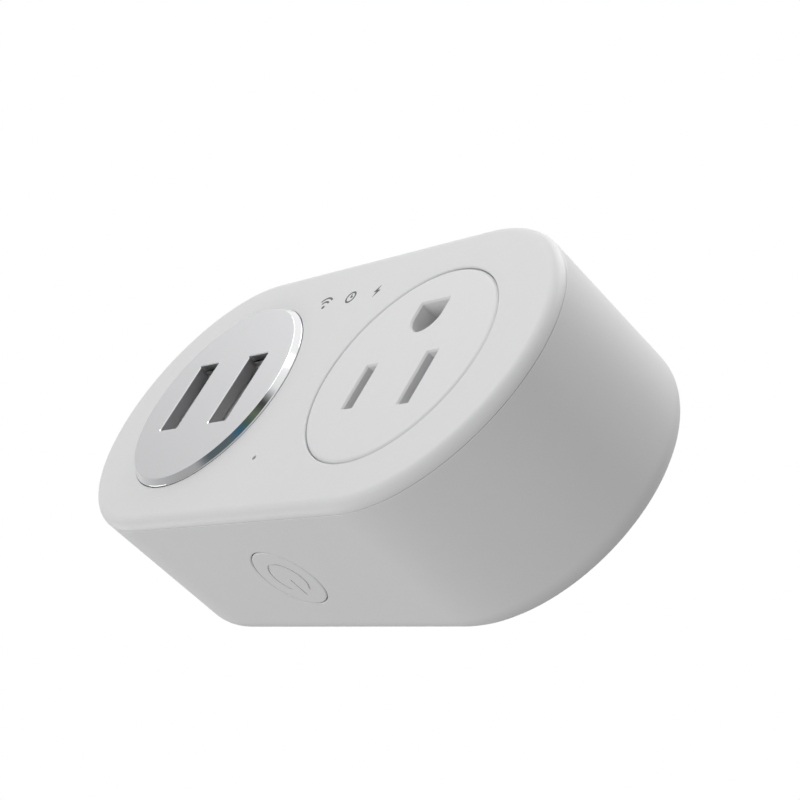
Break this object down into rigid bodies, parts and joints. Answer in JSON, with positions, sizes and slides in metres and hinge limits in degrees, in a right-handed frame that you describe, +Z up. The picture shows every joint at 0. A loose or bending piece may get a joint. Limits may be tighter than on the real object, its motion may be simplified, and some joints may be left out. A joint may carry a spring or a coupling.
{
  "type": "smart plug",
  "caption": "Wall-hung smart plug: oblong case with a grounded mains socket, twin USB ports in a metal disc, a round side button and three mains pins on its back.",
  "frame": {"origin": "middle of the flat back, which lies against the wall plate", "axes": "+X to the right seen from the front, along the long side; +Y into the wall, the way the pins point; +Z up, with the ground hole above the blade slots"},
  "size_m": [0.1, 0.0507, 0.0486],
  "materials": {
    "case_plastic": "fine matt moulded plastic",
    "socket_plastic": "fine matt moulded plastic",
    "carrier_plastic": "matt moulded nylon",
    "trim_metal": "satin front with a bright bevel",
    "pin_brass": "nickel-plated brass",
    "contact_bronze": "bare spring bronze",
    "busbar_brass": "bare brass strip",
    "port_shell": "nickel-plated folded sheet",
    "port_tongue": "white moulded nylon",
    "gold_contact": "gold plated",
    "board": "green solder mask",
    "button_plastic": "fine matt moulded plastic",
    "switch_black": "black moulded nylon",
    "clear_plastic": "clear acrylic",
    "led": "clear resin over a chip",
    "relay_blue": "glossy moulded cover",
    "relay_black": "black moulded foot",
    "coil_copper": "enamelled copper winding",
    "relay_iron": "zinc-plated soft iron",
    "ferrite": "sintered ferrite",
    "winding_tape": "polyester winding tape",
    "can_aluminium": "sleeved aluminium can",
    "chip_black": "moulded epoxy package",
    "fuse_body": "painted resistor body",
    "varistor_coat": "dipped epoxy coat",
    "inductor_sleeve": "heat-shrink sleeve",
    "shield_steel": "tinned sheet steel",
    "solder": "bright solder",
    "screw_steel": "zinc-plated steel"
  },
  "bodies": {
    "case": {"rear_housing": "case_plastic", "front_cover": "case_plastic", "socket_face": "socket_plastic", "contact_carrier": "carrier_plastic", "line_contact": "contact_bronze", "neutral_contact": "contact_bronze", "ground_contact": "contact_bronze", "line_blade": "pin_brass", "neutral_blade": "pin_brass", "ground_pin": "pin_brass", "neutral_strap": "busbar_brass", "ground_strap": "busbar_brass", "load_lead": "busbar_brass", "usb_trim_disc": "trim_metal", "light_pipe": "clear_plastic", "relay_case": "relay_blue", "relay_base": "relay_black", "relay_coil": "coil_copper", "relay_yoke": "relay_iron", "relay_fixed_contact": "contact_bronze", "transformer_core": "ferrite", "transformer_winding": "winding_tape", "transformer_bobbin": "relay_black", "main_board": "board", "usb_board": "board", "header_pins": "gold_contact", "button_board": "board", "tact_switch": "switch_black", "radio_board": "board", "radio_solder_pads": "solder", "radio_shield": "shield_steel", "status_led": "led", "bulk_capacitors": "can_aluminium", "output_capacitors": "can_aluminium", "bridge_rectifier": "chip_black", "fuse": "fuse_body", "varistor": "varistor_coat", "inductor": "inductor_sleeve", "control_chip": "chip_black", "optocoupler": "chip_black", "usb_charge_chip": "chip_black", "case_screws": "screw_steel", "board_screws": "screw_steel", "usb_shell_left": "port_shell", "usb_tongue_left": "port_tongue", "usb_contacts_left": "gold_contact", "usb_shell_right": "port_shell", "usb_tongue_right": "port_tongue", "usb_contacts_right": "gold_contact"},
    "button": {"power_button": "button_plastic"},
    "switch_plunger": {"tact_plunger": "switch_black"},
    "armature": {"relay_armature": "relay_iron", "relay_moving_contact": "contact_bronze"}
  },
  "joints": [
    {"name": "power_button_press", "type": "slide", "parent": "case", "child": "button", "axis": [0, 0, 1], "range_m": [0, 0.00035], "stiffness_N_per_m": 3000, "springref_m": -0.0003},
    {"name": "switch_plunger_press", "type": "slide", "parent": "case", "child": "switch_plunger", "axis": [0, 0, 1], "range_m": [0, 0.00035]},
    {"name": "relay_armature_pull", "type": "hinge", "parent": "case", "child": "armature", "pos_m": [-0.00175, -0.0173, 0.0152], "axis": [1, 0, 0], "range_deg": [0, 2.8], "stiffness_Nm_per_rad": 0.02, "springref_deg": -2.86}
  ],
  "couplings": [
    {"joint": "switch_plunger_press", "follows": "power_button_press", "ratio": 1}
  ]
}
